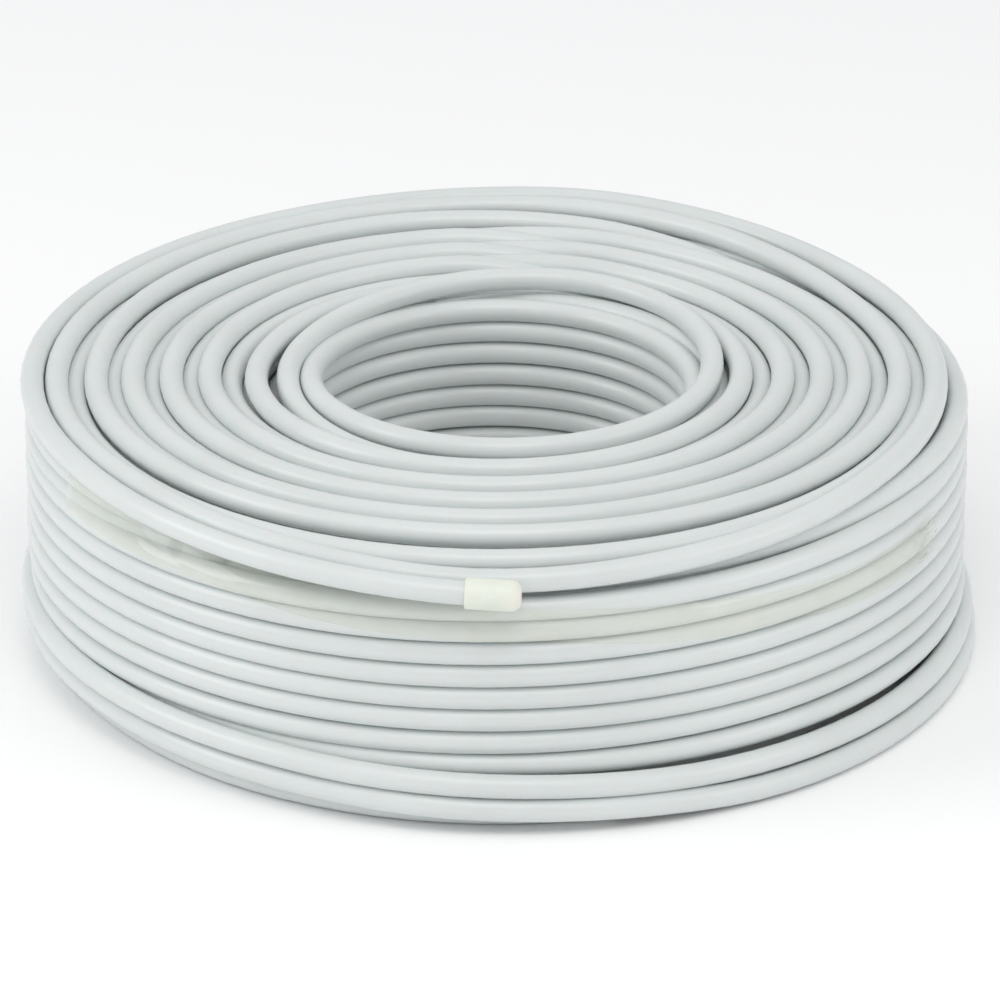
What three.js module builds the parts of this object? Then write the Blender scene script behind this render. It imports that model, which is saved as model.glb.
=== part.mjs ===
// A hundred metre coil of white coaxial cable, lying flat as it leaves the winding machine.
// Units are millimetres, +Z is up, and the coil's axis is parallel to Z.
// The wound body is one turned solid with its bore. The turns that have sprung loose from it,
// the raised inner loop, the capped cable end and the strip of clear tape are solids of their own.

import * as THREE from "three";
import { mergeVertices } from "three/addons/utils/BufferGeometryUtils.js";

// Driving dimensions of the cable and of its winding
const CABLE_DIAMETER = 6.8;
const BORE_LAYER_RADIUS = 58.3; // middle of the cable in the innermost layer
const ROWS = 12; // turns in a full layer, from the floor to the top
const RINGS = 5; // turns that show on each end of the body, outside the bore layer
const OUTER_ROWS = 7; // rows of the outermost layer that lie undisturbed

// The winding follows from them, because each turn lies against its neighbours
const CABLE_RADIUS = CABLE_DIAMETER / 2;
const ROW_PITCH = CABLE_DIAMETER;
const TOP_ROW = CABLE_RADIUS + (ROWS - 1) * ROW_PITCH;
const RING_STEP = 1.662 * CABLE_DIAMETER; // from one turn that shows on the end to the next
const FIRST_RING_RADIUS = BORE_LAYER_RADIUS + 1.912 * CABLE_DIAMETER;
const SHOULDER_RADIUS = FIRST_RING_RADIUS + (RINGS - 1) * RING_STEP + 0.838 * CABLE_DIAMETER;
const OUTER_LAYER_RADIUS = SHOULDER_RADIUS + 1.735 * CABLE_DIAMETER; // middle of the outermost layer
const FOOT_LAYER_RADIUS = OUTER_LAYER_RADIUS - CABLE_DIAMETER; // the layer behind the foot turns
const VALLEY = 0.147 * CABLE_DIAMETER; // height of a valley over the line through its turns
const DEEP_VALLEY = 0.206 * CABLE_DIAMETER;
const GAP = 0.3; // clearance between solids that touch on the real coil

// Driving dimensions of the capped end
const CAP_LENGTH = 15.5;
const CAP_WALL = 0.75;
const CAP_SOCKET = 11; // how far the cap covers the cable

// Driving dimensions of the tape
const TAPE_WIDTH = 12;
const TAPE_THICKNESS = 0.5;
const TAPE_START = -150; // degrees round the coil, -90 is the front
const TAPE_END = -27;
const TAPE_CLEARANCE = 0.75; // from the tape's top edge, at its start, to the last turn above it
const TAPE_SLOPE = 3.2; // degrees, falling towards the right

// How finely the round shapes are cut
const BODY_SIDES = 44;
const TUBE_SIDES = 8;
const TUBE_STEP = 9; // degrees of coil for each step along a loose turn
const TAPE_STEP = 4;

const degrees = THREE.MathUtils.degToRad;

const jacket = new THREE.MeshStandardMaterial({ color: 0xe4e8ea, roughness: 0.32, metalness: 0 });
const boreJacket = new THREE.MeshStandardMaterial({ color: 0xe6eae4, roughness: 0.34, metalness: 0 });
const capPlastic = new THREE.MeshStandardMaterial({ color: 0xe9ecdf, roughness: 0.45, metalness: 0 });
const clearFilm = new THREE.MeshStandardMaterial({
  color: 0xe3e6d6,
  roughness: 0.12,
  metalness: 0,
  transparent: true,
  opacity: 0.4,
});

// A place on the coil by its angle round the axis, in degrees, its radius and its height
function place(angle, radius, height) {
  const a = degrees(angle);
  return new THREE.Vector3(radius * Math.cos(a), radius * Math.sin(a), height);
}

// Radii of the turns that show on the ends, from the bore outwards
function ringRadii() {
  return Array.from({ length: RINGS }, (_, i) => FIRST_RING_RADIUS + i * RING_STEP);
}

// Points on the crown of one turn in the body's section. The turn's middle is at (r, z),
// and facing is the way that its crown looks, in degrees, 0 outwards and 90 up.
function crown(r, z, facing, offsets) {
  return offsets.map((offset) => {
    const a = degrees(facing + offset);
    return new THREE.Vector2(r + CABLE_RADIUS * Math.cos(a), z + CABLE_RADIUS * Math.sin(a));
  });
}

// The valley between two neighbouring turns of a face that looks the way of facing
function valley(a, b, facing, depth) {
  const turn = degrees(facing);
  return new THREE.Vector2(
    (a[0] + b[0]) / 2 + depth * Math.cos(turn),
    (a[1] + b[1]) / 2 + depth * Math.sin(turn),
  );
}

// One face of the section: the crowns of its turns with a valley between each two
function face(turns, facing, offsets, depth) {
  const points = [];
  turns.forEach((turn, i) => {
    points.push(...crown(turn[0], turn[1], facing, offsets));
    if (i + 1 < turns.length) {
      points.push(valley(turn, turns[i + 1], facing, depth));
    }
  });
  return points;
}

// The section of the wound body, drawn round once from the bottom of the outer side
function bodyOutline() {
  const rings = ringRadii();
  const rowHeight = (row) => CABLE_RADIUS + row * ROW_PITCH;
  const firstOuterRow = ROWS - 2 - OUTER_ROWS;

  const lowWall = [0, 1, 2].map((row) => [FOOT_LAYER_RADIUS, rowHeight(row)]);
  const outerWall = [];
  for (let i = 0; i < OUTER_ROWS; i += 1) {
    outerWall.push([OUTER_LAYER_RADIUS, rowHeight(firstOuterRow + i)]);
  }
  const top = rings.map((radius) => [radius, TOP_ROW]).reverse();
  const bore = [];
  for (let row = ROWS - 2; row >= 0; row -= 1) {
    bore.push([BORE_LAYER_RADIUS, rowHeight(row)]);
  }
  const bottom = [BORE_LAYER_RADIUS, ...rings].map((radius) => [radius, CABLE_RADIUS]);

  const flat = 20; // half the width of a crown's facet, in degrees
  const floorCrown = (turn) => [
    new THREE.Vector2(turn[0] - CABLE_RADIUS * Math.sin(degrees(flat)), 0),
    new THREE.Vector2(turn[0] + CABLE_RADIUS * Math.sin(degrees(flat)), 0),
  ];
  const floor = [];
  bottom.forEach((turn, i) => {
    floor.push(...floorCrown(turn));
    const next = bottom[i + 1] ?? [FOOT_LAYER_RADIUS, CABLE_RADIUS];
    floor.push(valley(turn, next, -90, VALLEY));
  });
  floor.push(...floorCrown([FOOT_LAYER_RADIUS, CABLE_RADIUS]));

  return [
    ...face(lowWall, 0, [-20, 20], VALLEY),
    new THREE.Vector2(OUTER_LAYER_RADIUS - CABLE_RADIUS, rowHeight(firstOuterRow) - CABLE_RADIUS),
    ...face(outerWall, 0, [-30, 30], VALLEY),
    new THREE.Vector2(OUTER_LAYER_RADIUS, rowHeight(ROWS - 3) + CABLE_RADIUS),
    new THREE.Vector2(SHOULDER_RADIUS + 0.235 * CABLE_DIAMETER, rowHeight(ROWS - 3) - CABLE_RADIUS),
    ...crown(SHOULDER_RADIUS, TOP_ROW - CABLE_RADIUS, 90, [-35, 0]),
    ...face(top, 90, [-45, 0, 45], DEEP_VALLEY),
    new THREE.Vector2(FIRST_RING_RADIUS - 0.647 * CABLE_DIAMETER, TOP_ROW - CABLE_RADIUS),
    ...crown(BORE_LAYER_RADIUS, rowHeight(ROWS - 2), 90, [-30, 30]),
    ...face(bore, 180, [0], DEEP_VALLEY),
    ...floor,
  ];
}

// The turned body stands round Z, so the lathe's own axis, Y, is turned up
function woundBody() {
  const outline = bodyOutline();
  const lathe = new THREE.LatheGeometry([...outline, outline[0].clone()], BODY_SIDES);
  lathe.rotateX(Math.PI / 2);
  return closed(lathe);
}

// Keeps a geometry's places only and merges the points that its seams share
function closed(geometry) {
  const bare = new THREE.BufferGeometry();
  bare.setIndex(geometry.index);
  bare.setAttribute("position", geometry.getAttribute("position"));
  const merged = mergeVertices(bare, 1e-3);
  merged.computeVertexNormals();
  return merged;
}

// A cable that follows stations of [angle, out, up], cut into equal angles. The angle is in
// degrees, and the other two are in cable diameters from a radius and a height on the body.
function cableAlong(stations, radius, height) {
  const places = stations.map(
    ([angle, out, up]) =>
      new THREE.Vector3(angle, radius + out * CABLE_DIAMETER, height + up * CABLE_DIAMETER),
  );
  const table = new THREE.CatmullRomCurve3(places, false, "centripetal");
  const first = stations[0][0];
  const last = stations[stations.length - 1][0];
  const steps = Math.round((last - first) / TUBE_STEP);
  const samples = table.getPoints(steps * 8);
  const route = [];
  for (let i = 0; i <= steps; i += 1) {
    const angle = first + ((last - first) * i) / steps;
    const after = samples.findIndex((p) => p.x >= angle - 1e-6);
    const to = samples[Math.max(after, 1)];
    const from = samples[Math.max(after, 1) - 1];
    const share = (angle - from.x) / (to.x - from.x);
    route.push(
      place(angle, THREE.MathUtils.lerp(from.y, to.y, share), THREE.MathUtils.lerp(from.z, to.z, share)),
    );
  }
  const path = new THREE.CatmullRomCurve3(route, false, "centripetal");
  path.arcLengthDivisions = route.length * 20;
  return { path, steps, geometry: tube(path, steps) };
}

// A closed tube along a path
function tube(path, steps) {
  const section = new THREE.Shape();
  for (let i = 0; i < TUBE_SIDES; i += 1) {
    const a = (2 * Math.PI * (i + 0.5)) / TUBE_SIDES;
    const corner = [CABLE_RADIUS * Math.cos(a), CABLE_RADIUS * Math.sin(a)];
    if (i === 0) {
      section.moveTo(...corner);
    } else {
      section.lineTo(...corner);
    }
  }
  section.closePath();
  const solid = new THREE.ExtrudeGeometry(section, {
    steps,
    extrudePath: path,
    bevelEnabled: false,
  });
  return closed(solid);
}

// The last turn and a half: it climbs off the body's last ring, sags over the rim in front,
// rises again on the right and comes down outside itself to the capped end.
const LAST_TURNS = [
  [62, -1.397, 0.574],
  [76, -1.118, 0.412],
  [90, -0.838, 0.235],
  [120, -0.824, 0.147],
  [180, -0.897, 0.029],
  [215, -0.794, -0.029],
  [240, -0.441, -0.338],
  [270, 0.059, -0.779],
  [300, -0.147, -0.441],
  [330, -0.676, -0.029],
  [360, -0.897, 0.029],
  [395, -0.735, 0.118],
  [422, -0.294, 0.294],
  [436, 0, 0.353],
  [450, 0.235, 0.324],
  [480, 0.235, 0.176],
  [515, 0.162, 0.103],
  [540, 0.132, 0.088],
  [565, 0.206, 0.015],
  [585, 0.456, -0.235],
  [600, 0.706, -0.441],
  [615, 1, -0.647],
  [631, 1.309, -0.853],
];

// The outer layer's top turn shows from the front round the right to the back
const RIM_TURN = [
  [-60, -0.838, -1.221],
  [-45, -0.706, -1.191],
  [-30, -0.382, -1],
  [-15, -0.088, -0.912],
  [0, 0, -0.912],
  [90, 0, -0.912],
  [180, 0, -0.926],
  [203, -0.147, -0.985],
  [228, -0.75, -1.25],
];

// The lowest turns have slipped off the body and lie round its foot, shifted to the front
const FOOT_TURNS = [
  [-120, 0.074, 2.5],
  [-90, 0.074, 2.5],
  [0, 0.088, 2.529],
  [90, 0.088, 2.529],
  [150, 0.147, 2.529],
  [180, 0.338, 2.471],
  [210, 0.676, 2.235],
  [240, 0.971, 2.118],
  [270, 1.176, 2.059],
  [300, 0.971, 1.618],
  [330, 0.706, 1.5],
  [360, 0.412, 1.5],
  [420, 0.088, 1.5],
  [480, 0.088, 1.5],
  [540, 0.353, 1.441],
  [570, 0.706, 1.235],
  [600, 1.029, 1.118],
  [630, 1.265, 1.059],
  [648, 1.294, 0.824],
  [662, 1.265, 0.574],
  [690, 0.971, 0.5],
  [720, 0.529, 0.5],
  [780, 0.118, 0.5],
  [840, 0.088, 0.5],
  [900, 0.118, 0.5],
  [930, 0.132, 0.5],
  [960, 0.206, 0.5],
  [990, 0.382, 0.5],
  [1004, 0.353, 0.5],
];

// The first turn stands proud of the bore's edge and leans over the ring beside it at the back
const INNER_LOOP = [
  [100, -0.132, 0.088],
  [135, -0.426, 0.029],
  [180, -0.676, -0.088],
  [225, -0.426, -0.029],
  [270, -0.074, 0.088],
  [315, 0.338, 0.147],
  [360, 0.632, 0.206],
  [400, 0.868, 0.441],
  [430, 1.015, 0.588],
  [460, 1.103, 0.647],
];

const lastTurns = cableAlong(LAST_TURNS, OUTER_LAYER_RADIUS, TOP_ROW);
const rimTurn = cableAlong(RIM_TURN, OUTER_LAYER_RADIUS, TOP_ROW);
const footTurns = cableAlong(FOOT_TURNS, OUTER_LAYER_RADIUS, 0);
const innerLoop = cableAlong(INNER_LOOP, BORE_LAYER_RADIUS, TOP_ROW);

// The cap is a cup with a domed end that closes over the cable's cut end
function endCap() {
  const inside = CABLE_RADIUS + GAP;
  const outside = inside + CAP_WALL;
  const dome = 2.6; // rounding of the closed end
  const outline = [
    new THREE.Vector2(0, CAP_SOCKET),
    new THREE.Vector2(inside, CAP_SOCKET),
    new THREE.Vector2(inside, 0),
    new THREE.Vector2(outside - 0.3, 0),
    new THREE.Vector2(outside, 0.6),
  ].reverse();
  const points = [new THREE.Vector2(0, CAP_LENGTH)];
  for (let i = 1; i <= 3; i += 1) {
    const a = degrees(30 * i);
    points.push(
      new THREE.Vector2(outside - dome + dome * Math.sin(a), CAP_LENGTH - dome + dome * Math.cos(a)),
    );
  }
  const profile = [...points, ...outline].reverse();
  return closed(new THREE.LatheGeometry(profile, 20));
}

// The tape is a curved strip that follows the crowns of the outer rows
function tapeStrip() {
  const inside = OUTER_LAYER_RADIUS + CABLE_RADIUS + GAP;
  const outside = inside + TAPE_THICKNESS;
  const steps = Math.round((TAPE_END - TAPE_START) / TAPE_STEP);
  const startTop = TOP_ROW - CABLE_RADIUS - TAPE_CLEARANCE;
  const positions = [];
  const index = [];
  for (let i = 0; i <= steps; i += 1) {
    const angle = TAPE_START + ((TAPE_END - TAPE_START) * i) / steps;
    const along = degrees(angle - TAPE_START) * inside;
    const high = startTop - along * Math.tan(degrees(TAPE_SLOPE));
    const low = high - TAPE_WIDTH;
    for (const [radius, height] of [[inside, low], [outside, low], [outside, high], [inside, high]]) {
      positions.push(...place(angle, radius, height).toArray());
    }
  }
  for (let i = 0; i < steps; i += 1) {
    for (let side = 0; side < 4; side += 1) {
      const a = 4 * i + side;
      const b = 4 * i + ((side + 1) % 4);
      index.push(a, b + 4, b, a, a + 4, b + 4);
    }
  }
  const end = 4 * steps;
  index.push(0, 1, 2, 0, 2, 3, end, end + 2, end + 1, end, end + 3, end + 2);
  const geometry = new THREE.BufferGeometry();
  geometry.setAttribute("position", new THREE.Float32BufferAttribute(positions, 3));
  geometry.setIndex(index);
  geometry.computeVertexNormals();
  return geometry;
}

function piece(name, geometry, material) {
  const mesh = new THREE.Mesh(geometry, material);
  mesh.name = name;
  return mesh;
}

const coil = new THREE.Group();
coil.add(piece("wound_body", woundBody(), jacket));
coil.add(piece("last_turns", lastTurns.geometry, jacket));
coil.add(piece("rim_turn", rimTurn.geometry, jacket));
coil.add(piece("foot_turns", footTurns.geometry, jacket));
coil.add(piece("inner_loop", innerLoop.geometry, boreJacket));
coil.add(piece("clear_tape", tapeStrip(), clearFilm));

// The cap sits on the cable's end and looks the way that the cable's last step runs
const cap = piece("end_cap", endCap(), capPlastic);
const cableEnd = lastTurns.path.getPointAt(1);
const lastStepStart = lastTurns.path.getPointAt(1 - 1 / lastTurns.steps);
const heading = cableEnd.clone().sub(lastStepStart).normalize();
cap.quaternion.setFromUnitVectors(new THREE.Vector3(0, 1, 0), heading);
cap.position.copy(cableEnd).addScaledVector(heading, GAP - CAP_SOCKET);
coil.add(cap);

// The origin is the middle of the coil's outline on the floor
const outlineBox = new THREE.Box3().setFromObject(coil);
const middle = outlineBox.getCenter(new THREE.Vector3());
coil.position.set(-middle.x, -middle.y, -outlineBox.min.z);

export default coil;
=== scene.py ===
# %% [markdown]
# # A coil of white coaxial cable
# This lesson dresses a coil of cable that lies flat on the floor. The real thing is one length of about
# 100 m, wound in fourteen layers round an open bore, and every turn of it is modelled here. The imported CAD
# model is loaded first and stays the fixed frame: the pieces below take the places of its solids.

# %% Load the frame
import math
import random

import bmesh
import bpy
import numpy as np
from mathutils import Matrix, Vector


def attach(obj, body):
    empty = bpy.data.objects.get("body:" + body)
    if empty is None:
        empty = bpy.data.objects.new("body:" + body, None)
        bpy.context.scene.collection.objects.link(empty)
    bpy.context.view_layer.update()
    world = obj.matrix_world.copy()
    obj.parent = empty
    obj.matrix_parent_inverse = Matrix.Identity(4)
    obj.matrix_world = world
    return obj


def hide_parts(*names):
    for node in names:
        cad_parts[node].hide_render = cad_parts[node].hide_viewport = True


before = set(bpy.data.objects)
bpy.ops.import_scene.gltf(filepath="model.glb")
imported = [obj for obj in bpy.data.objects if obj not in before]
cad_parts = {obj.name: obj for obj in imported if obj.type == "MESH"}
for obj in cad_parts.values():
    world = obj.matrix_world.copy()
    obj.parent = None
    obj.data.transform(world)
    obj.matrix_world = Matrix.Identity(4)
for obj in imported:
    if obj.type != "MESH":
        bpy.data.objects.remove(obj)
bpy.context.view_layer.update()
bpy.ops.object.select_all(action="DESELECT")

# %% [markdown]
# ## Units and places
# The route of the cable is easiest to give by angle, radius and height round the coil's own axis, in
# millimetres, as in the CAD source. The axis isn't at the frame's origin, because the loose turns and the
# capped end stand out further on one side. One function turns such a place into the frame's metres.

# %% Places round the coil's axis
AXIS = (-0.533, 4.761)
CABLE = 6.8


def place(angle, radius, height):
    turn = np.radians(angle)
    x = AXIS[0] + radius * np.cos(turn)
    y = AXIS[1] + radius * np.sin(turn)
    return np.stack([x, y, height + 0 * x], axis=-1) / 1000


print("front of the rim in m:", place(-90.0, 137.4, 72.0).round(4))

# %% [markdown]
# ## The camera
# The camera was fitted to the rings on top of the coil and to the rows on its side. It stands 2 m away,
# looks down by 24 degrees, and has a long lens, which is why the far side looks almost as wide as the near.

# %% Camera
LENS_MM = 243.02
CAMERA_PLACE = (0.00056, -1.8072, 0.8416)
CAMERA_TILT = 66.069
camera_data = bpy.data.cameras.new("camera")
camera_data.lens = LENS_MM
camera_data.sensor_width = 36
camera = bpy.data.objects.new("camera", camera_data)
camera.location = CAMERA_PLACE
camera.rotation_euler = (math.radians(CAMERA_TILT), 0, 0)
bpy.context.collection.objects.link(camera)
bpy.context.scene.camera = camera
print("camera distance in m:", round(camera.location.length, 3))

# %% [markdown]
# ## How a coil like this is wound
# A winding machine lays the cable turn by turn. Each turn lies level for most of the way round and steps
# to the next row in one short stretch, here at the back. The layers go up and down by turns, and each lies
# in the grooves of the one inside it, so they are less than a cable's width apart and every second layer
# has one row fewer. One function therefore makes a whole winding from a list of rows.

# %% The rows of a winding
# radii of layers 1 to 13, in mm
LAYERS = (58.3, 64.8, 71.3, 77.3, 83.3, 89.0, 94.7, 100.2, 105.7, 111.1, 116.6, 122.2, 127.9)
LOWEST = CABLE / 2
TOP = LOWEST + 11 * CABLE
GROOVE = TOP - CABLE / 2
# the turns step between these two angles
STEP_START = 52.0
STEP_END = 106.0


def rows_up(layer, count=12):
    return [(LAYERS[layer - 1], LOWEST + CABLE * row) for row in range(count)]


def rows_down(layer, first=0):
    return [(LAYERS[layer - 1], GROOVE - CABLE * row) for row in range(first, 11)]


def ease(t):
    t = np.clip(t, 0.0, 1.0)
    return t * t * (3 - 2 * t)


print("rows in an upward layer:", [round(height, 1) for radius, height in rows_up(1)])

# %% [markdown]
# Where a turn steps, it can't go through its neighbours. The turn on top moves outwards and down into the
# next groove, and the turn that comes up from below rolls round its inner side, so it bows inwards a little
# and rides high before it settles.

# %% One step
# what the turn on top gives way by, in mm, while the next one rolls round it
GIVES_WAY_OUT = 5.8
GIVES_WAY_DOWN = CABLE / 2
ROLL_ANGLE = 120
RIDES_HIGH = 1.2


# the roll is over a little before the step ends, outer layers ride higher, and a turn that is free of its
# neighbours for a moment springs back towards its own layer
def roll_up(radius, t):
    turn = np.radians(-90 - ROLL_ANGLE * ease(t * 1.08))
    lift = 1.0 + 0.9 * (radius - LAYERS[4]) / (LAYERS[10] - LAYERS[4])
    over_radius = radius + GIVES_WAY_OUT * ease(t)
    over_height = TOP - GIVES_WAY_DOWN * ease(t) + lift * np.sin(np.pi * np.clip(t, 0, 1)) ** 2
    free = 1 - 0.45 * np.sin(np.pi * t)
    rolled = over_radius + CABLE * np.cos(turn)
    return rolled * free + radius * (1 - free), over_height + CABLE * np.sin(turn)


def step(start, end, t):
    (radius_a, height_a), (radius_b, height_b) = start, end
    if height_b == TOP:
        return roll_up(radius_a, t)
    # a turn that goes down leaves sooner, and the one on top rides high on its way
    sinks_inside = height_b < height_a < TOP
    rise = ease(t * 1.25) if sinks_inside else ease(t)
    bulge = RIDES_HIGH * np.sin(np.pi * t) ** 2 if height_a == TOP else 0.0
    return radius_a + (radius_b - radius_a) * rise, height_a + (height_b - height_a) * rise + bulge


print("half-way up a step:", [round(float(x), 1) for x in roll_up(LAYERS[4], 0.5)])

# %% [markdown]
# A winding is a list of rows. Each is level for most of the way round, and the step leads to the next.

# %% Wind the rows
def wind(rows, degrees):
    route = []
    for index, row in enumerate(rows):
        for angle in np.arange(STEP_END, STEP_START + 360, degrees):
            route.append((angle + 360 * index, *row))
        if index + 1 < len(rows):
            for angle in np.arange(STEP_START + 360, STEP_END + 360 - 0.01, degrees):
                t = (angle - STEP_START - 360) / (STEP_END - STEP_START)
                route.append((angle + 360 * index, *step(row, rows[index + 1], t)))
    return np.array(route, float)


print("stations in one layer:", len(wind(rows_up(5), 5.0)))

# %% [markdown]
# The turns that have sprung loose don't follow a rule, so each has a list of stations instead. They are
# joined by a cubic that never overshoots a station, because a cable that overshoots would cut into the
# turn that it rests on.

# %% Stations to a smooth route
def smooth_through(known, values, wanted):
    gaps = np.diff(known)
    slopes = np.diff(values) / gaps
    tangents = np.zeros(len(known))
    for i in range(1, len(known) - 1):
        before, after = slopes[i - 1], slopes[i]
        if before * after > 0:
            weight_a = 2 * gaps[i] + gaps[i - 1]
            weight_b = gaps[i] + 2 * gaps[i - 1]
            tangents[i] = (weight_a + weight_b) / (weight_a / before + weight_b / after)
    tangents[0], tangents[-1] = slopes[0], slopes[-1]
    at = np.clip(np.searchsorted(known, wanted, side="right") - 1, 0, len(gaps) - 1)
    t = (wanted - known[at]) / gaps[at]
    left = values[at] * (1 + 2 * t) * (1 - t) ** 2 + tangents[at] * gaps[at] * t * (1 - t) ** 2
    right = values[at + 1] * t * t * (3 - 2 * t) + tangents[at + 1] * gaps[at] * t * t * (t - 1)
    return left + right


def through(stations, degrees):
    angles, radii, heights = (np.array(column, float) for column in zip(*stations))
    count = int(math.ceil((angles[-1] - angles[0]) / degrees)) + 1
    wanted = np.linspace(angles[0], angles[-1], count)
    smooth_radii = smooth_through(angles, radii, wanted)
    smooth_heights = smooth_through(angles, heights, wanted)
    return np.column_stack([wanted, smooth_radii, smooth_heights])


print("a level turn stays level:", through([(0, 60, 10), (90, 60, 10), (180, 61, 12)], 30)[:3, 1:].tolist())

# %% [markdown]
# No turn lies quite true. A few slow waves of seeded phase, a fifth of a millimetre high, move each route
# off its rows, and they fade out towards both ends, where it meets the next length of cable.

# %% A little unevenness
# waves per turn of the coil, and each wave's share of the height
WAVES = ((0.31, 1.0), (0.77, 0.8), (1.63, 0.6), (3.27, 0.35), (6.9, 0.15))


def uneven(route, seed, size):
    rng = random.Random(seed)
    turns = route[:, 0] / 360
    size = size * ease((turns - turns[0]) * 4) * ease((turns[-1] - turns) * 4)
    for column in (1, 2):
        for waves, share in WAVES:
            route[:, column] += size * share * 0.5 * np.sin(2 * np.pi * (waves * turns + rng.random()))
    return route


flat = np.column_stack([np.arange(0.0, 721.0, 30.0), np.zeros(25), np.zeros(25)])
print("largest wave in mm:", round(float(np.abs(uneven(flat, 1, 0.2)[:, 1:]).max()), 2))

# %% [markdown]
# ## The cable as a tube
# A cable is a round tube along its route. It could be a curve with a round bevel, but a mesh gives each
# ring its own direction, so the tube never twists, and lets the UV map run in real metres along the cable.
# The finish reads that map, so that streaks from the extruder follow the cable round every bend.

# %% Make a tube
def tube(name, route, sides, diameter=CABLE):
    centres = place(route[:, 0], route[:, 1], route[:, 2])
    along = np.gradient(centres, axis=0)
    along /= np.linalg.norm(along, axis=1)[:, None]
    turn = np.radians(route[:, 0])
    outward = np.column_stack([np.cos(turn), np.sin(turn), 0 * turn])
    outward -= along * np.sum(outward * along, axis=1)[:, None]
    outward /= np.linalg.norm(outward, axis=1)[:, None]
    upward = np.cross(outward, along)
    angles = 2 * np.pi * np.arange(sides) / sides
    radius = diameter / 2000
    ring = np.cos(angles)[None, :, None] * outward[:, None, :]
    ring = ring + np.sin(angles)[None, :, None] * upward[:, None, :]
    points = (centres[:, None, :] + radius * ring).reshape(-1, 3)
    count = len(centres)
    ring_at, side_at = np.meshgrid(np.arange(count - 1), np.arange(sides), indexing="ij")
    next_side = (side_at + 1) % sides
    corners = [ring_at * sides + side_at, (ring_at + 1) * sides + side_at]
    corners += [(ring_at + 1) * sides + next_side, ring_at * sides + next_side]
    faces = np.stack(corners, axis=-1).reshape(-1, 4).tolist()
    faces.append(list(range(sides)))
    faces.append([(count - 1) * sides + i for i in reversed(range(sides))])
    mesh = bpy.data.meshes.new(name)
    mesh.from_pydata(points.tolist(), [], faces)
    run = np.concatenate([[0], np.cumsum(np.linalg.norm(np.diff(centres, axis=0), axis=1))])
    u = np.stack([run[ring_at], run[ring_at + 1], run[ring_at + 1], run[ring_at]], axis=-1)
    v = np.stack([side_at, side_at, side_at + 1, side_at + 1], axis=-1) / sides
    uv = np.zeros((len(mesh.loops), 2), np.float32)
    uv[: u.size, 0] = u.reshape(-1)
    uv[: u.size, 1] = v.reshape(-1)
    mesh.uv_layers.new(name="cable").data.foreach_set("uv", uv.reshape(-1))
    mesh.polygons.foreach_set("use_smooth", [True] * len(mesh.polygons))
    mesh.update()
    piece = bpy.data.objects.new(name, mesh)
    bpy.context.collection.objects.link(piece)
    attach(piece, "root")
    return piece, centres, float(run[-1])


# %% [markdown]
# Each length of the winding keeps its true length and what lies at its far end, because together they
# are one cable.

# %% Make a length of the cable
cable_pieces = []
routes = {}


def lay_cable(name, route, sides, nodes, far_end="object"):
    piece, centres, length = tube(name, route, sides)
    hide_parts(*nodes)
    routes[name] = route
    cable_pieces.append((piece, centres, length, far_end))
    print(name, round(length, 2), "m,", 2 * len(piece.data.polygons), "triangles")


# %% [markdown]
# ## The bore's wall and the loose loop
# The first layer is the wall of the bore, and its rows climb at the front, where the wall can't be seen. The
# topmost leaves the wall at the left and stands proud of the bore's edge, runs once round it, crosses over
# itself at the back and then dives under its own start into the second layer.

# %% Bore rows and loop
BORE_RADIUS = LAYERS[0]
# the rows of this layer lie a little apart, and the first has already left the floor at the back
BORE_PITCH = 6.91
FIRST_AT_BACK = 5.1
LOOP_AT = 3600
bore_stations = [(-130, BORE_RADIUS, LOWEST), (-60, BORE_RADIUS, LOWEST)]
for row in range(10):
    height = FIRST_AT_BACK + BORE_PITCH * row
    bore_stations.append((360 * row + 50, BORE_RADIUS, height - 0.2))
    bore_stations.append((360 * row + 130, BORE_RADIUS, height + 0.2))
LOOP = [
    (30, 58.3, 73.6), (60, 58.2, 73.9), (90, 57.8, 74.1), (120, 56.8, 74.2), (150, 55.2, 74.7),
    (180, 53.9, 76.4), (205, 54.2, 77.6), (225, 55.2, 78.2), (270, 57.8, 78.8), (315, 60.6, 79.2),
    (360, 62.8, 79.6), (380, 64.8, 80.1), (402, 67, 80.8), (418, 67.2, 81.3), (435, 65.4, 81.8),
    (450, 63, 81.8), (465, 61.2, 81.3), (480, 60.2, 80.4), (495, 59.9, 79.4), (510, 59.9, 78.6),
    (540, 60.6, 77.5), (570, 61.8, 75.8), (600, 63.6, 74.9), (630, 64.8, 74.8), (675, 65, 74),
    (720, 64.9, 73.2), (740, 64.7, 73.6), (765, 64.4, 74.6), (790, 64.4, 74.4), (826, 64.8, 71.4),
]
bore_stations += [(angle + LOOP_AT, radius, height) for angle, radius, height in LOOP]
bore_route = through(bore_stations, 4.5)
in_wall = bore_route[:, 0] < LOOP_AT + 20
bore_route[in_wall] = uneven(bore_route[in_wall], 11, 0.2)
lay_cable("first_turns", bore_route, 20, ["inner_loop", "wound_body"])

# %% [markdown]
# ## The inner windings
# These layers show only their top turns and their lowest ones. They are wound whole all the same, because
# a coil is only as long as its turns. The second layer starts half a row high, where the loop dives into it.
# The third layer's top turn comes up late, from under the loop, and sinks early, so it has stations.

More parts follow.
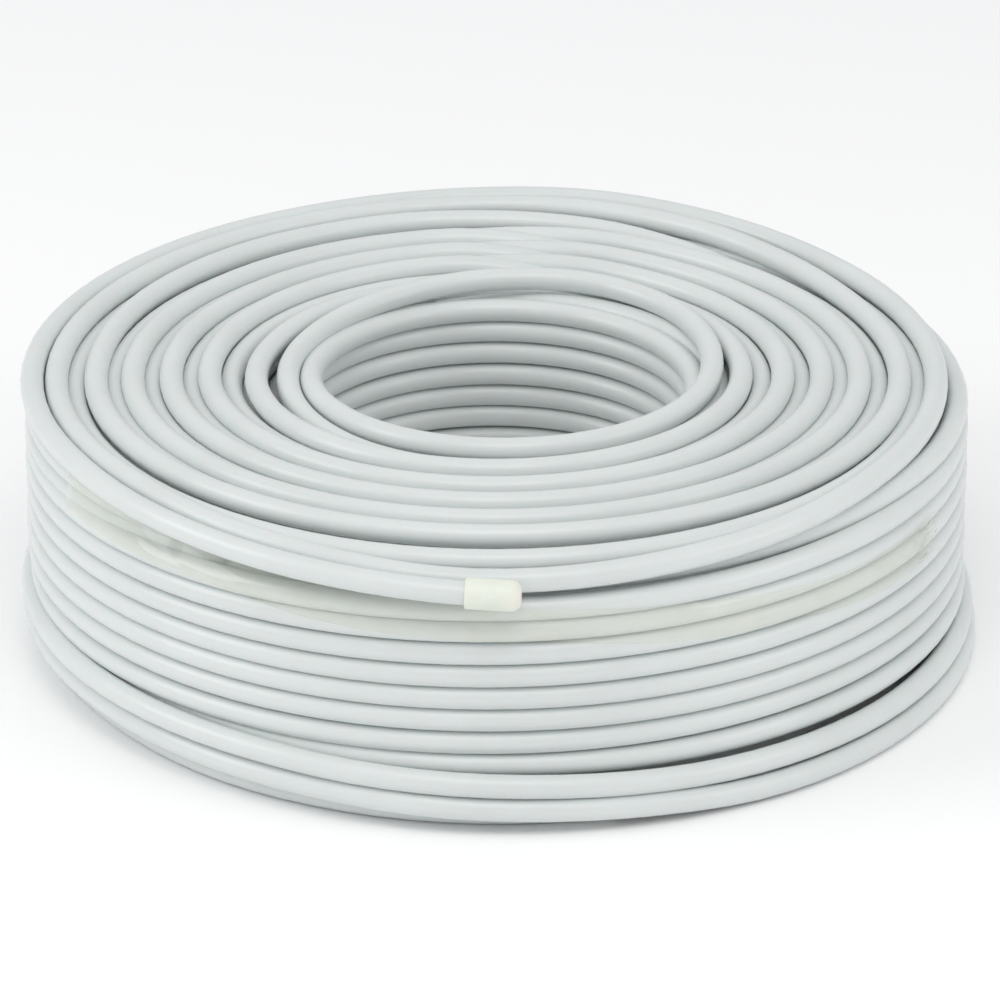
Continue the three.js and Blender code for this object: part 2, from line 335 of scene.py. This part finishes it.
# %% Inner winding
# the angle over which the second layer's start comes down to its row
SETTLES_IN = 64
inner_rows = rows_down(2, 1) + rows_up(3) + rows_down(4) + rows_up(5) + rows_down(6)
inner_route = uneven(wind(inner_rows, 5.0), 12, 0.2)
inner_route[:, 2] += CABLE / 2 * (1 - ease((inner_route[:, 0] - STEP_END) / SETTLES_IN))
EDGE_TURN = [
    (7612, 71.3, 71.4), (7640, 70.8, 72.4), (7665, 69.8, 75.4), (7690, 69, 77.4), (7715, 68.5, 78.1),
    (7750, 70.2, 78.2), (7790, 71.3, 78.2), (7932, 71.3, 78.2), (7955, 72.2, 77.8), (7975, 73.6, 76.8),
    (7995, 75.6, 75.6), (8026, 77.3, 74.8),
]
before = inner_route[inner_route[:, 0] < EDGE_TURN[0][0] - 2]
after = inner_route[inner_route[:, 0] > EDGE_TURN[-1][0] + 2]
inner_route = np.concatenate([before, through(EDGE_TURN, 5.0), after])
lay_cable("inner_winding", inner_route, 14, ["wound_body"])

# %% [markdown]
# The middle winding ends below the second ring, a little before its step, and the last turns begin there.

# %% Middle winding
MIDDLE_ENDS = 36
middle_rows = rows_up(7) + rows_down(8) + rows_up(9) + rows_down(10) + rows_up(11, 11)
middle_route = uneven(wind(middle_rows, 4.5), 13, 0.2)
middle_route = middle_route[middle_route[:, 0] <= 360 * len(middle_rows) + MIDDLE_ENDS]
lay_cable("middle_winding", middle_route, 14, ["wound_body"])

# %% [markdown]
# The twelfth layer's top turn isn't held by a full ring outside it at the front, so it has slipped
# outwards there and shows almost whole.

# %% Outer winding
SLIP_ANGLE = 268
SLIP_REACH = 95
SLIP_OUT = 4.8
SLIP_UP = 0.7
outer_rows = rows_down(12) + rows_up(13, 10)[2:]
outer_route = uneven(wind(outer_rows, 4.0), 14, 0.2)
first_turn = outer_route[:, 0] < STEP_START + 360
slip = ease(np.clip(1 - np.abs(outer_route[:, 0] - SLIP_ANGLE) / SLIP_REACH, 0, 1) * first_turn)
outer_route[:, 1] += SLIP_OUT * slip
outer_route[:, 2] += SLIP_UP * slip
lay_cable("outer_winding", outer_route, 16, ["wound_body"])

# %% [markdown]
# ## The rows on the outside
# The last layer was laid by hand. Its rows climb all the way round, a little more steeply near the top. The
# lowest comes out from behind the loose turns at the foot, and the highest goes in again under the rim.

# %% Outside rows
# the height of each row in front, and the radius of them all, in mm
SIDE_RADIUS = 134.0
SIDE_HEIGHTS = (23.8, 30.6, 37.4, 44.2, 51.0, 57.8, 64.2)
side_stations = [(-230, 128.6, 19.8), (-200, 132.0, 21.0), (-175, 133.6, 21.8), (-135, 134.0, 22.8)]
for row, height in enumerate(SIDE_HEIGHTS[:-1]):
    climb = SIDE_HEIGHTS[row + 1] - height
    # the share of the climb that is done at each angle
    early = 0.15 + 0.02 * row
    late = 0.84 - 0.025 * row
    shares = ((-90, 0.0), (-30, early), (30, early + 0.1), (110, early + 0.22), (210, late))
    for angle, share in shares:
        radius = SIDE_RADIUS + (0.1 if abs(angle) == 30 else 0.0)
        side_stations.append((360 * row + angle, radius, height + climb * share))
side_stations += [(2070, 134.0, 64.2), (2130, 134.4, 65.8), (2180, 134.2, 65.6), (2340, 134.0, 65.2)]
side_stations += [(2365, 132.6, 65.4), (2395, 128.6, 66.4)]
side_route = uneven(through(side_stations, 4.0), 15, 0.16)
lay_cable("side_rows", side_route, 20, ["wound_body"])

# %% [markdown]
# ## The turns that have sprung loose
# The last turns run from the second ring over the rim to the capped end in front. Under them lies the
# outer layer's own top turn, which goes in at both ends.

# %% Last turns and rim turn
LAST_TURNS = [
    (-324, 116.6, 71.4), (-312, 116, 72.6), (-300, 115.8, 75.6), (-285, 117.6, 77.8), (-270, 118.8, 78.5),
    (-255, 120.4, 78.4), (-240, 120.4, 78.2), (-210, 118.4, 78.2), (-180, 116.4, 78.2), (-90, 116.6, 78.2),
    (0, 117.4, 78.2), (25, 117.8, 78.4), (45, 119.8, 79.6), (60, 122.6, 80.6), (76, 126.2, 80.4),
    (90, 128.3, 79.8), (120, 128.2, 79.4), (180, 127.9, 78.4), (215, 128.6, 78), (240, 131, 75.9),
    (270, 134.4, 72.9), (300, 133, 75.2), (330, 129.4, 78), (360, 127.9, 78.4), (395, 129, 79),
    (422, 132, 80.2), (436, 134, 80.6), (450, 135.4, 79.8), (480, 135, 78.8), (515, 134.8, 78.6),
    (540, 134.9, 78.8), (565, 135.4, 78.3), (585, 137.1, 76.6), (600, 138.8, 75.2), (615, 140.8, 73.8),
    (631, 142.9, 72.4),
]
last_route = through(LAST_TURNS, 4.0)
lay_cable("last_turns_cable", last_route, 20, ["last_turns", "wound_body"], far_end="fitting")

RIM_TURN = [
    (-131, 128.7, 69.7), (-110, 128.2, 69.8), (-80, 128.2, 69.9), (-60, 128.4, 69.9),
    (-45, 129.2, 70.1), (-30, 131.4, 71.4), (-15, 133.4, 72), (0, 134, 72), (90, 134, 72),
    (180, 134, 71.9), (203, 133, 71.5), (228, 128.9, 69.7),
]
lay_cable("rim_turn_cable", through(RIM_TURN, 4.0), 20, ["rim_turn"])

# %% [markdown]
# The lowest turns have sprung off the side and lie round the foot, where they hang down to the floor.

# %% Foot turns
FOOT_TURNS = [
    (-178, 128.4, 15.6), (-150, 130.8, 16.6), (-122, 132.6, 17.2), (-105, 134, 17.1), (-90, 134.5, 17),
    (0, 134.6, 17.2), (90, 134.6, 17.2), (150, 135, 17.2), (180, 136, 17.4), (210, 137.6, 17),
    (240, 139.4, 16.2), (255, 140.9, 15), (270, 142, 14), (300, 140.6, 11), (330, 138.8, 10.2),
    (360, 136.8, 10.2), (420, 134.6, 10.2), (480, 134.6, 10.2), (540, 135.6, 10.4), (570, 136.2, 10),
    (600, 139, 9.2), (630, 142.6, 7.2), (648, 142.8, 5.6), (662, 142.6, 3.9), (690, 140.6, 3.4),
    (720, 137.6, 3.4), (780, 134.8, 3.4), (840, 134.2, 3.4), (900, 132.4, 3.4), (930, 130.8, 3.4),
    (960, 134.2, 3.4), (990, 136.4, 3.4), (1004, 136.4, 3.4),
]
lay_cable("foot_turns_cable", through(FOOT_TURNS, 4.0), 20, ["foot_turns"])

# %% [markdown]
# ## The end cap
# The cut end wears a small moulded cap of soft white polyethylene. It could be a turned profile, but a
# cylinder gets there in fewer steps: its closed end is rounded by a bevel, and its open end is inset and
# pushed in to make the socket that the cable sits in. One helper selects faces by their direction.

# %% Select faces
def select_faces(piece, wanted):
    shape = bmesh.from_edit_mesh(piece.data)
    for face in shape.faces:
        face.select_set(wanted(face))
    shape.select_flush_mode()
    bmesh.update_edit_mesh(piece.data)


print("faces are selected in code, by their direction")

# %% End cap
# all in metres
CAP_LENGTH = 0.0155
CAP_RADIUS = 0.00435
CAP_ROUNDING = 0.0031
CAP_EDGE = 0.0006
CAP_LIP = 0.0003
SOCKET_DEPTH = 0.011
bpy.ops.object.select_all(action="DESELECT")
bpy.ops.mesh.primitive_cylinder_add(vertices=48, radius=CAP_RADIUS, depth=CAP_LENGTH, location=(0, 0, 0))
cap = bpy.context.object
cap.name = "end_cap_soft"
bpy.ops.object.mode_set(mode="EDIT")
bpy.ops.mesh.select_mode(type="FACE")
select_faces(cap, lambda face: face.normal.z > 0.9)
bpy.ops.mesh.bevel(offset=CAP_ROUNDING, segments=9, profile=0.55, affect="EDGES")
select_faces(cap, lambda face: face.normal.z < -0.9)
bpy.ops.mesh.bevel(offset=CAP_EDGE, segments=3, affect="EDGES")
select_faces(cap, lambda face: face.normal.z < -0.99 and face.calc_area() > 1e-5)
bpy.ops.mesh.inset(thickness=CAP_LIP)
bpy.ops.mesh.extrude_region_move(TRANSFORM_OT_translate={"value": (0, 0, SOCKET_DEPTH)})
bpy.ops.object.mode_set(mode="OBJECT")
print("cap faces:", len(cap.data.polygons))

# %% [markdown]
# The cap now stands on the origin. It is turned along the cable's last direction and moved so far over the
# cable's end that the end touches the bottom of the socket.

# %% Put the cap on
end_angles = LAST_TURNS[-1][0] - np.array([3.0, 0.0])
end_places = place(end_angles, np.array([142.52, 142.9]), np.array([72.66, 72.4]))
end_a, end_b = (Vector(spot) for spot in end_places)
heading = (end_b - end_a).normalized()
cap_turn = heading.to_track_quat("Z", "Y").to_matrix().to_4x4()
cap.matrix_world = Matrix.Translation(end_b + heading * (CAP_LENGTH / 2 - SOCKET_DEPTH)) @ cap_turn
bpy.ops.object.transform_apply(location=True, rotation=True, scale=True)
bpy.ops.object.shade_smooth_by_angle(angle=math.radians(40))
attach(cap, "root")
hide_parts("end_cap")

# %% [markdown]
# ## The clear tape
# A strip of clear packing tape holds the outer turns in front. Tape under tension touches only the crowns
# of the rows and spans from one to the next, so at each angle it lies on the convex outline of the turns
# behind it. Its right end was torn and has come loose, and there it is crumpled.

# %% The outline behind the tape
# the angle and height of the tape's middle line, in degrees and mm
TAPE_LINE = [(-153, 69.2), (-130, 66.6), (-100, 62.0), (-80, 59.4), (-60, 55.4), (-40, 52.6), (-26, 54.0)]
TAPE_HALF = 5.4
outer_names = ("side_rows", "rim_turn_cable", "last_turns_cable", "outer_winding")
outer_routes = [routes[name] for name in outer_names]


def crowns(angle, heights):
    reach = np.full(len(heights), 120.0)
    for route in outer_routes:
        for around in range(-2, 9):
            at = angle + 360 * around
            if route[0, 0] <= at <= route[-1, 0]:
                radius = np.interp(at, route[:, 0], route[:, 1])
                height = np.interp(at, route[:, 0], route[:, 2])
                inside = (CABLE / 2) ** 2 - (heights - height) ** 2
                reach = np.maximum(reach, np.where(inside > 0, radius + np.sqrt(np.maximum(inside, 0)), 0))
    return reach


def taut(heights, reach):
    hull = [0]
    for i in range(1, len(heights)):
        while len(hull) > 1:
            a, b = hull[-2], hull[-1]
            new_rise = (heights[b] - heights[a]) * (reach[i] - reach[a])
            old_rise = (heights[i] - heights[a]) * (reach[b] - reach[a])
            if new_rise < old_rise:
                break
            hull.pop()
        hull.append(i)
    return np.interp(heights, heights[hull], reach[hull])


crown = float(crowns(-90, np.array([60.0]))[0])
print("reach of the rows in front in mm:", round(crown, 1))

# %% [markdown]
# The film starts as a grid. Each line of its vertices across the tape goes to one angle, where it is laid
# on that outline. Near the torn end it stands off in crumples, and at one place it has a fold.

# %% Tape
ACROSS, ALONG = 24, 246
# angles in degrees, and how far the film stands off the rows, in mm
FOLD_ANGLE = -128
LOOSE_FROM = -45
TORN_FROM = -33
CLEARANCE = 0.16
CRUMPLE = 0.9
rng = random.Random(7)
ragged = [rng.uniform(-1, 1) for _ in range(ACROSS + 1)]
line_angle, line_height = (np.array(column, float) for column in zip(*TAPE_LINE))
bpy.ops.object.select_all(action="DESELECT")
bpy.ops.mesh.primitive_grid_add(x_subdivisions=ALONG, y_subdivisions=ACROSS, size=2, location=(0, 0, 0))
tape = bpy.context.object
tape.name = "clear_tape_film"
spots = np.array([v.co[:] for v in tape.data.vertices])
across_steps = np.linspace(-1, 1, ACROSS + 1)
for angle_step in np.unique(spots[:, 0].round(6)):
    column = np.where(np.abs(spots[:, 0] - angle_step) < 1e-5)[0]
    column = column[np.argsort(spots[column, 1])]
    share = (angle_step + 1) / 2
    angle = line_angle[0] + share * (line_angle[-1] - line_angle[0])
    middle = smooth_through(line_angle, line_height, np.array([angle]))[0]
    loose = float(ease((angle - LOOSE_FROM) / 18))
    fold = math.exp(-(((angle - FOLD_ANGLE) / 9) ** 2))
    heights = middle + TAPE_HALF * across_steps * (1 - 0.18 * fold + 0.12 * loose)
    reach = taut(heights, crowns(angle, heights)) + CLEARANCE
    crumple = CRUMPLE * loose * np.sin(across_steps * 7 + angle * 0.9)
    crumple = crumple * np.sin(angle * 1.1 + across_steps * 2)
    pucker = 0.05 * np.sin(angle * 0.21 + across_steps * 2.0)
    pucker = pucker + 0.22 * fold * np.sin(across_steps * 5 + angle * 0.2)
    reach = reach + np.abs(crumple) + np.abs(pucker) + 0.5 * loose
    tear = np.array(ragged) * 1.6 * ease((angle - TORN_FROM) / 7)
    for spot, height, radius, shift in zip(column, heights, reach, tear):
        tape.data.vertices[spot].co = place(angle + shift, radius, height)
tape.data.update()
bpy.ops.object.mode_set(mode="EDIT")
bpy.ops.mesh.select_all(action="SELECT")
bpy.ops.mesh.normals_make_consistent(inside=False)
bpy.ops.object.mode_set(mode="OBJECT")
film = tape.modifiers.new("thickness", "SOLIDIFY")
# packing tape is 0.06 mm thick
film.thickness = 0.00006
film.offset = 0
bpy.ops.object.modifier_apply(modifier=film.name)
bpy.ops.object.shade_smooth()
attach(tape, "root")
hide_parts("clear_tape")
print("tape faces", len(tape.data.polygons))

# %% [markdown]
# ## The whole cable
# The lengths of all the pieces add up to the whole cable.

print("cable in all:", round(sum(row[2] for row in cable_pieces), 1), "m")

# %% [markdown]
# ## Finishes
# Colours are picked as sRGB hex values, and one function turns them into the linear values that the shader
# works in. One small function adds a node.

# %% Colour and node helpers
def linear(hex_colour):
    values = [int(hex_colour[i : i + 2], 16) / 255 for i in (1, 3, 5)]
    return (*[v / 12.92 if v <= 0.04045 else ((v + 0.055) / 1.055) ** 2.4 for v in values], 1.0)


def add_node(material, kind, settings=None, **links):
    node = material.node_tree.nodes.new(kind)
    for key, value in (settings or {}).items():
        if key in node.bl_rna.properties:
            setattr(node, key, value)
        else:
            node.inputs[key].default_value = value
    for name, source in links.items():
        material.node_tree.links.new(source, node.inputs[name.replace("_", " ")])
    return node


def new_material(name):
    material = bpy.data.materials.new(name)
    material.use_nodes = True
    material.node_tree.nodes.clear()
    return material


print("mid grey in linear:", [round(x, 3) for x in linear("#808080")[:3]])

# %% [markdown]
# ### White PVC jacket
# The jacket is soft PVC, extruded white over the braid. It is smooth and a little glossy, with a slow
# waviness from the braid under it, fine streaks along its length from the die, and a few dull scuffs from
# the winding. Light goes a little way into it, which softens its shadows. The UV map runs in metres along
# the cable and in turns around it, 21.4 mm each, so the patterns' scales follow from their sizes.

# %% PVC colour
CLEAN = "#D8DDDC"
HANDLED = "#CED3D2"
jacket = new_material("white_pvc_extruded")
cable_place = add_node(jacket, "ShaderNodeTexCoord")
along_cable = cable_place.outputs["UV"]
in_space = cable_place.outputs["Object"]
# streaks 8 mm long and 1.5 mm wide
streak_scale = add_node(jacket, "ShaderNodeMapping", {"Scale": (120.0, 14.0, 1.0)}, Vector=along_cable)
streaks = add_node(
    jacket,
    "ShaderNodeTexNoise",
    {"Scale": 1.0, "Detail": 3.0, "Roughness": 0.55},
    Vector=streak_scale.outputs[0],
)
# handling marks, in patches of about 40 mm
patches = add_node(
    jacket,
    "ShaderNodeTexNoise",
    {"Scale": 24.0, "Detail": 4.0, "Roughness": 0.6},
    Vector=in_space,
)
patch_range = {"From Min": 0.42, "From Max": 0.72, "To Max": 0.5}
patch_mask = add_node(jacket, "ShaderNodeMapRange", patch_range, Value=patches.outputs["Fac"])
colour = add_node(jacket, "ShaderNodeMix", {"data_type": "RGBA"}, Factor=patch_mask.outputs[0])
# a colour mix has its two colours in sockets 6 and 7
colour.inputs[6].default_value = linear(CLEAN)
colour.inputs[7].default_value = linear(HANDLED)
print("colour nodes:", len(jacket.node_tree.nodes))

# %% [markdown]
# The shine follows the streaks, and scuffs of some 4 mm by 2 mm dull about a tenth of the surface.

# %% PVC shine
# the roughness of the clean skin, and how much a scuff adds
SATIN = 0.36
SCUFFED = 0.16
scuff_scale = add_node(jacket, "ShaderNodeMapping", {"Scale": (260.0, 9.0, 1.0)}, Vector=along_cable)
scuffs = add_node(
    jacket,
    "ShaderNodeTexNoise",
    {"Scale": 1.0, "Detail": 5.0, "Roughness": 0.7},
    Vector=scuff_scale.outputs[0],
)
scuff_range = {"From Min": 0.64, "From Max": 0.74}
scuff_mask = add_node(jacket, "ShaderNodeMapRange", scuff_range, Value=scuffs.outputs["Fac"])
shine_range = {"From Min": 0.3, "From Max": 0.7, "To Min": SATIN - 0.05, "To Max": SATIN + 0.06}
shine = add_node(jacket, "ShaderNodeMapRange", shine_range, Value=streaks.outputs["Fac"])
duller = add_node(jacket, "ShaderNodeMath", {"operation": "MULTIPLY_ADD"})
jacket.node_tree.links.new(scuff_mask.outputs[0], duller.inputs[0])
duller.inputs[1].default_value = SCUFFED
jacket.node_tree.links.new(shine.outputs[0], duller.inputs[2])
print("colour and shine nodes:", len(jacket.node_tree.nodes))

# %% [markdown]
# The braid shows through as a slow waviness of some 5 mm, and the streaks are felt as a fine relief. Both
# are far too shallow to model, so they are bump.

# %% PVC relief and surface
wave_scale = add_node(jacket, "ShaderNodeMapping", {"Scale": (190.0, 5.0, 1.0)}, Vector=along_cable)
waves = add_node(
    jacket,
    "ShaderNodeTexNoise",
    {"Scale": 1.0, "Detail": 2.0, "Roughness": 0.4},
    Vector=wave_scale.outputs[0],
)
wave_bump = {"Strength": 0.35, "Distance": 0.00018}
soft = add_node(jacket, "ShaderNodeBump", wave_bump, Height=waves.outputs["Fac"])
fine = add_node(
    jacket,
    "ShaderNodeBump",
    {"Strength": 0.25, "Distance": 0.00005},
    Height=streaks.outputs["Fac"],
    Normal=soft.outputs[0],
)
surface = add_node(
    jacket,
    "ShaderNodeBsdfPrincipled",
    {
        "IOR": 1.53,
        "Subsurface Weight": 0.12,
        "Subsurface Scale": 0.0025,
        "Coat Weight": 0.18,
        "Coat Roughness": 0.16,
    },
    Base_Color=colour.outputs[2],
    Roughness=duller.outputs[0],
    Normal=fine.outputs[0],
)
add_node(jacket, "ShaderNodeOutputMaterial", Surface=surface.outputs[0])
for piece, *_ in cable_pieces:
    piece.data.materials.append(jacket)
print("jackets:", len(cable_pieces))

# %% [markdown]
# ### Polyethylene cap
# The cap is moulded from natural polyethylene: creamy, waxy, a little see-through at its edge, with the
# faint grain of the mould.

# %% Polyethylene
cap_plastic = new_material("natural_polyethylene_moulded")
cap_place = add_node(cap_plastic, "ShaderNodeTexCoord")
# the grain is 1 mm wide, and the cloudiness 6 mm
grain = add_node(
    cap_plastic,
    "ShaderNodeTexNoise",
    {"Scale": 900.0, "Detail": 3.0, "Roughness": 0.5},
    Vector=cap_place.outputs["Object"],
)
cloud = add_node(
    cap_plastic,
    "ShaderNodeTexNoise",
    {"Scale": 160.0, "Detail": 2.0, "Roughness": 0.5},
    Vector=cap_place.outputs["Object"],
)
cap_colour = add_node(cap_plastic, "ShaderNodeMix", {"data_type": "RGBA"}, Factor=cloud.outputs["Fac"])
cap_colour.inputs[6].default_value = linear("#ECEDE2")
cap_colour.inputs[7].default_value = linear("#E2E4D8")
grain_height = {"Strength": 0.3, "Distance": 0.00006}
cap_bump = add_node(cap_plastic, "ShaderNodeBump", grain_height, Height=grain.outputs["Fac"])
cap_range = {"To Min": 0.42, "To Max": 0.56}
cap_rough = add_node(cap_plastic, "ShaderNodeMapRange", cap_range, Value=grain.outputs["Fac"])
cap_surface = add_node(
    cap_plastic,
    "ShaderNodeBsdfPrincipled",
    {"IOR": 1.51, "Subsurface Weight": 0.3, "Subsurface Scale": 0.003},
    Base_Color=cap_colour.outputs[2],
    Roughness=cap_rough.outputs[0],
    Normal=cap_bump.outputs[0],
)
add_node(cap_plastic, "ShaderNodeOutputMaterial", Surface=cap_surface.outputs[0])
cap.data.materials.append(cap_plastic)
print("cap:", cap_plastic.name)

# %% [markdown]
# ### Clear tape
# The tape is thin polypropylene with a faint yellow tint. One sees it by its sharp highlights and by its
# edges and creases, where it turns whiter.

# %% Clear film
film_plastic = new_material("clear_polypropylene_film")
film_place = add_node(film_plastic, "ShaderNodeTexCoord")
# patches of some 15 mm in which the glue has taken more or less
creases = add_node(
    film_plastic,
    "ShaderNodeTexNoise",
    {"Scale": 60.0, "Detail": 2.0, "Roughness": 0.5},
    Vector=film_place.outputs["Object"],
)
alpha_range = {"From Min": 0.45, "From Max": 0.75, "To Min": 0.1, "To Max": 0.17}
film_alpha = add_node(film_plastic, "ShaderNodeMapRange", alpha_range, Value=creases.outputs["Fac"])
crease_height = {"Strength": 0.15, "Distance": 0.0001}
film_bump = add_node(film_plastic, "ShaderNodeBump", crease_height, Height=creases.outputs["Fac"])
film_surface = add_node(
    film_plastic,
    "ShaderNodeBsdfPrincipled",
    {
        "Base Color": linear("#F0F2DC"),
        "Roughness": 0.08,
        "IOR": 1.49,
        "Specular IOR Level": 1.0,
        "Coat Weight": 1.0,
        "Coat Roughness": 0.03,
    },
    Alpha=film_alpha.outputs[0],
    Normal=film_bump.outputs[0],
)
add_node(film_plastic, "ShaderNodeOutputMaterial", Surface=film_surface.outputs[0])
tape.data.materials.append(film_plastic)
print("tape:", film_plastic.name)

# %% [markdown]
# ## Floor and light
# The floor is plain white paper, 14 m wide, so that no view looks past its edge.

# %% Floor
FLOOR_SIZE = 14
FLOOR_DROP = 0.0001
bpy.ops.object.select_all(action="DESELECT")
bpy.ops.mesh.primitive_plane_add(size=FLOOR_SIZE, location=(0, 0, -FLOOR_DROP))
floor = bpy.context.object
floor.name = "floor"
floor_paint = new_material("pale_matt_paper")
floor_place = add_node(floor_paint, "ShaderNodeTexCoord")
fibre = add_node(
    floor_paint,
    "ShaderNodeTexNoise",
    {"Scale": 300.0, "Detail": 2.0, "Roughness": 0.5},
    Vector=floor_place.outputs["Object"],
)
fibre_height = {"Strength": 0.05, "Distance": 0.0002}
floor_bump = add_node(floor_paint, "ShaderNodeBump", fibre_height, Height=fibre.outputs["Fac"])
floor_surface = add_node(
    floor_paint,
    "ShaderNodeBsdfPrincipled",
    {"Base Color": linear("#FFFFFF"), "Roughness": 0.9},
    Normal=floor_bump.outputs[0],
)
add_node(floor_paint, "ShaderNodeOutputMaterial", Surface=floor_surface.outputs[0])
floor.data.materials.append(floor_paint)
print("floor:", round(floor.dimensions.x, 1), "m")

# %% [markdown]
# Three large soft lights: one from each side, so that each turn of cable carries two soft highlights, as in
# the photograph, and one from high in front, which reaches down into the bore. All aim at the coil.

# %% Lights
AIM = Vector((0, 0, 0.04))


def soft_light(name, place_at, size, watts, tint):
    data = bpy.data.lights.new(name, "AREA")
    data.shape = "RECTANGLE"
    data.size, data.size_y = size
    data.energy = watts
    data.color = linear(tint)[:3]
    light = bpy.data.objects.new(name, data)
    light.location = place_at
    light.rotation_euler = (AIM - Vector(place_at)).to_track_quat("-Z", "Y").to_euler()
    bpy.context.collection.objects.link(light)


soft_light("left_softbox", (-1.35, -0.3, 0.95), (0.8, 0.8), 6.0, "#FFFFFF")
soft_light("right_softbox", (1.3, -0.6, 0.95), (0.8, 0.8), 3.5, "#FFFFFF")
soft_light("front_softbox", (0.0, -0.9, 1.6), (1.0, 0.8), 6.5, "#FFFDF8")

# %% [markdown]
# The room itself is nearly white and fills the shadows. A white cable on a white ground keeps its real tones
# only without a film curve, so the view is set to Standard.

# %% Room light
FILL = 0.72
world = bpy.data.worlds.new("studio")
bpy.context.scene.world = world
world.use_nodes = True
world.node_tree.nodes["Background"].inputs["Color"].default_value = linear("#FAFBFD")
world.node_tree.nodes["Background"].inputs["Strength"].default_value = FILL
bpy.context.scene.view_settings.view_transform = "Standard"
print("room light:", FILL)
